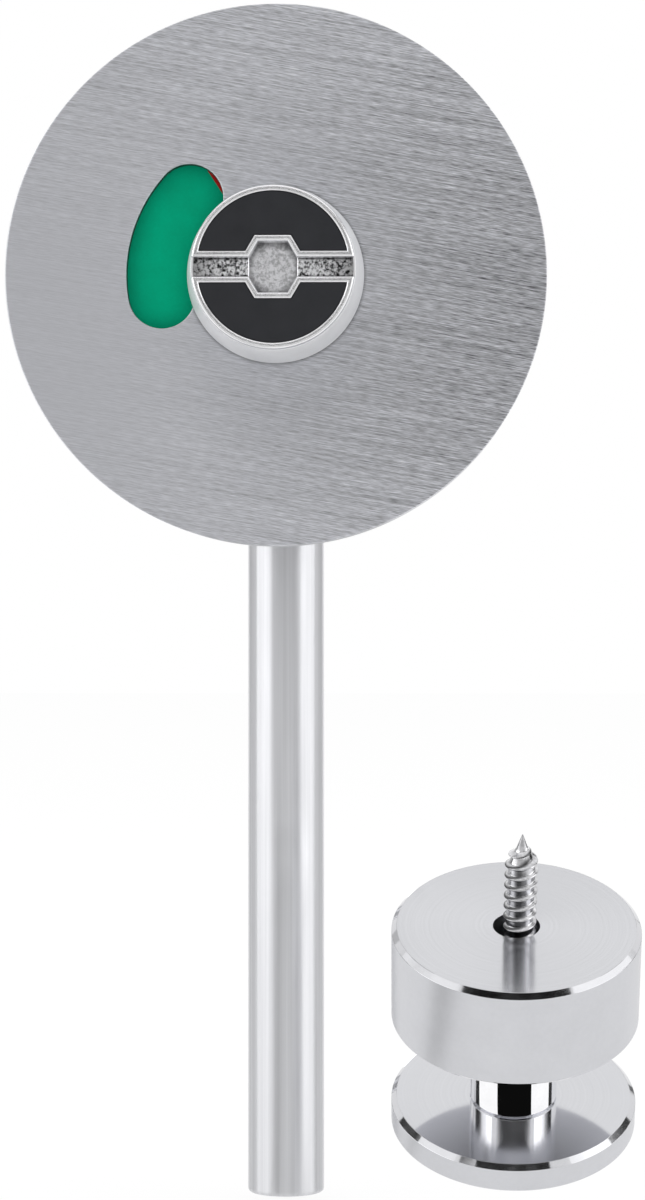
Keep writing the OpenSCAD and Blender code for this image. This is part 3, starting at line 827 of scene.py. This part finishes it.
def floor_material(name, share, level):
    """White to the eye and in reflections, but lit like a pale surface so that it still takes a shadow."""
    mat, tree, surface = bare_material(name)
    glow = tree.nodes.new("ShaderNodeEmission")
    glow.inputs["Strength"].default_value = level
    pale = tree.nodes.new("ShaderNodeBsdfDiffuse")
    pale.inputs["Color"].default_value = (0.86, 0.86, 0.86, 1)
    part = tree.nodes.new("ShaderNodeMath")
    part.operation = "MULTIPLY"
    part.inputs[1].default_value = share
    tree.links.new(seen_rays(tree), part.inputs[0])
    tree.links.new(mix_shaders(tree, part.outputs[0], pale, glow).outputs[0], surface)
    return mat


def glow_material(name, level, front_only=False):
    """An even glow. With front_only the sheet's back lets light through."""
    mat, tree, surface = bare_material(name)
    shown = tree.nodes.new("ShaderNodeEmission")
    shown.inputs["Color"].default_value = (level, level, level, 1)
    if front_only:
        back = tree.nodes.new("ShaderNodeNewGeometry").outputs["Backfacing"]
        shown = mix_shaders(tree, back, shown, tree.nodes.new("ShaderNodeBsdfTransparent"))
    tree.links.new(shown.outputs[0], surface)
    return mat


def sheet(name, verts, faces, mat):
    """A thin piece of the stage."""
    mesh = bpy.data.meshes.new(name)
    mesh.from_pydata(verts, [], faces)
    mesh.materials.append(mat)
    ob = bpy.data.objects.new(name, mesh)
    bpy.context.collection.objects.link(ob)
    return ob


def reflected_sheet(name, level, verts, faces=((0, 1, 2, 3),), front_only=False):
    """A glowing or dark sheet that only reflections see."""
    ob = sheet(name, verts, faces, glow_material(name, level, front_only))
    for rays in ("camera", "diffuse", "shadow", "transmission", "volume_scatter"):
        setattr(ob, "visible_" + rays, False)


# Floor
FLOOR_Z = -94.5 * MM
FLOOR_HALF = 2.0
floor_corners = [(x * FLOOR_HALF, y * FLOOR_HALF, FLOOR_Z) for x, y in ((-1, -1), (1, -1), (1, 1), (-1, 1))]
sheet("floor", floor_corners, [(0, 1, 2, 3)], floor_material("floor_pale", share=0.85, level=1.04))

# Cards round the object: level, then azimuths and elevations in degrees, with 0 at the camera's side
CENTRE = Vector((0.005, 0, -0.04))
FAR = 1.0
NEAR = 0.8
CARD_STEPS = 12


def card(name, level, az0, az1, el0, el1, dist):
    """A curved card over a range of directions from the object."""
    verts, faces = [], []
    for k in range(CARD_STEPS + 1):
        a = math.radians(az0 + (az1 - az0) * k / CARD_STEPS)
        for el in (el0, el1):
            verts.append(CENTRE + Vector((math.sin(a), -math.cos(a), math.tan(math.radians(el)))) * dist)
        if k:
            faces.append((2 * k - 2, 2 * k, 2 * k + 1, 2 * k - 1))
    reflected_sheet(name, level, verts, faces)


card("flag_eye", 0.012, -37, 39, 3.4, 12, FAR)
card("flag_upper", 0.012, -41, 41, 25.3, 33, FAR)
card("flag_upper_low", 0.03, -28, 28, 21, 25.3, FAR)
card("flag_low", 1.0, -37, 46, -3, 3.4, FAR)
card("flag_back_left", 0.15, -150, -99, -3, 14, NEAR)
card("flag_back_right", 0.15, 99, 150, -3, 14, NEAR)
card("flag_rim_left", 0.05, -112, -82, 22, 29.4, NEAR)
card("flag_rim_right", 0.05, 84, 115, 19, 25, NEAR)
card("flag_neck_left", 0.02, -100, -70, 32.2, 46, NEAR)
card("flag_neck_right", 0.02, 70, 100, 30, 46, NEAR)
card("flag_neck_back", 0.10, 140, 220, 34, 49, FAR)


# Cards close to the object, in metres in the row frame
def flat_card(name, level, corners, z):
    """A level sheet over four points of the ground plan."""
    reflected_sheet(name, level, [(x, y, z) for x, y in corners])


def upright_card(name, level, left, right, low, high):
    """An upright sheet between two points of the ground plan."""
    reflected_sheet(name, level, [(*left, high), (*right, high), (*right, low), (*left, low)])


TABLE_Z = FLOOR_Z + 0.5 * MM
TABLE_FAR = [(-0.77, -1), (1.06, -1), (0.12, -0.09), (-0.09, -0.09)]
TABLE_NEAR = [(-0.09, -0.0895), (-0.028, -0.0895), (-0.001, 0.022), (-0.003, 0.022)]
ABOVE_KEEP = [(0.01, -0.008), (0.022, -0.008), (0.022, 0.014), (0.01, 0.014)]
ABOVE_KEEP_Z = -0.044
flat_card("flag_table", 0.66, TABLE_FAR, TABLE_Z)
flat_card("flag_table_near", 0.66, TABLE_NEAR, TABLE_Z)
upright_card("fill_bar_side", 1.5, (0.0102, 0.0174), (0.0128, 0.0212), -0.0935, -0.058)
upright_card("fill_bar_top", 0.66, (-0.0135, 0.010), (0.0135, 0.010), -0.053, -0.025)


# Cards just above the flange that the neck mirrors, in millimetres round the neck
NECK_CARD_Z = FLANGE_Z + 0.15 * MM


def neck_card(name, level, outline):
    """A sheet whose back, towards the flange, lets light through."""
    verts = [KEEP @ Vector((x * MM, y * MM, NECK_CARD_Z)) for x, y in outline]
    reflected_sheet(name, level, verts, [tuple(range(len(verts)))], front_only=True)


NECK_FRONT = [(-1.66, -3.95), (-9.2, -11.2), (-5, -14.5), (5, -14.5), (9.2, -11.2), (1.66, -3.95)]
NECK_RIGHT = [(1.66, -3.95), (9.2, -11.2), (13, -7), (13.5, 0.35), (3.4, -2.6)]
NECK_LEFT = [(-x, y) for x, y in NECK_RIGHT[::-1]]
neck_card("flag_neck", 0.004, NECK_FRONT)
neck_card("fill_neck_right", 1.03, NECK_RIGHT)
neck_card("fill_neck_left", 1.03, NECK_LEFT)
flat_card("fill_keep", 1.0, ABOVE_KEEP, ABOVE_KEEP_Z)


# Lamps
LAMP_DISTANCE = 0.9


def lamp(name, az, el, size_x, size_y, power):
    """A soft box that faces the object, from a direction in degrees."""
    data = bpy.data.lights.new(name, "AREA")
    data.shape = "RECTANGLE"
    data.size = size_x
    data.size_y = size_y
    data.energy = power
    ob = bpy.data.objects.new(name, data)
    bpy.context.collection.objects.link(ob)
    a, e = math.radians(az), math.radians(el)
    d = Vector((math.sin(a) * math.cos(e), -math.cos(a) * math.cos(e), math.sin(e)))
    ob.location = CENTRE + d * LAMP_DISTANCE
    ob.rotation_euler = (-d).to_track_quat("-Z", "Y").to_euler()
    return ob


lamp("softbox_left", -76, 4, 0.95, 0.7, power=2.1)
lamp("softbox_right", 75, 4, 0.95, 0.7, power=2.1)
lamp("edge_left", -76, 30, 0.95, 0.16, power=0.1)
lamp("edge_right", 75, 30, 0.95, 0.16, power=0.18)
lamp("softbox_top", 10, 75, 0.8, 0.6, power=2.0).visible_glossy = False


# World
def studio_world(name, lit, seen):
    """An even white world: one level lights the object, the other is seen directly and in reflections."""
    world = bpy.data.worlds.new(name)
    world.use_nodes = True
    tree = world.node_tree
    tree.nodes.clear()
    level = tree.nodes.new("ShaderNodeMapRange")
    tree.links.new(seen_rays(tree), level.inputs["Value"])
    level.inputs["To Min"].default_value = lit
    level.inputs["To Max"].default_value = seen
    background = tree.nodes.new("ShaderNodeBackground")
    background.inputs["Color"].default_value = (1, 1, 1, 1)
    tree.links.new(level.outputs[0], background.inputs["Strength"])
    out = tree.nodes.new("ShaderNodeOutputWorld")
    tree.links.new(background.outputs[0], out.inputs["Surface"])
    return world


bpy.context.scene.world = studio_world("studio", lit=0.80, seen=1.0)

# Camera: the size of a pixel of the photograph in the plane of the rose's face sets the lens
PIXEL = 0.09585 * MM
PHOTO_HEIGHT = 1200
SENSOR = 36
DISTANCE = 330 * MM
EYE_X = 11.2 * MM
AIM_X = 4.5 * MM
EYE_Z = -31.2 * MM
eye = Vector((EYE_X, -ROSE_H - DISTANCE, EYE_Z))
aim = Vector((AIM_X, -ROSE_H, EYE_Z))
cam_data = bpy.data.cameras.new("camera")
cam_data.sensor_fit = "VERTICAL"
cam_data.sensor_height = SENSOR
cam_data.lens = SENSOR * DISTANCE / PIXEL / PHOTO_HEIGHT
cam_data.clip_start = 0.01
camera = bpy.data.objects.new("camera", cam_data)
bpy.context.collection.objects.link(camera)
camera.location = eye
camera.rotation_euler = (aim - eye).to_track_quat("-Z", "Y").to_euler()
bpy.context.scene.camera = camera
bpy.context.scene.view_settings.view_transform = "Standard"
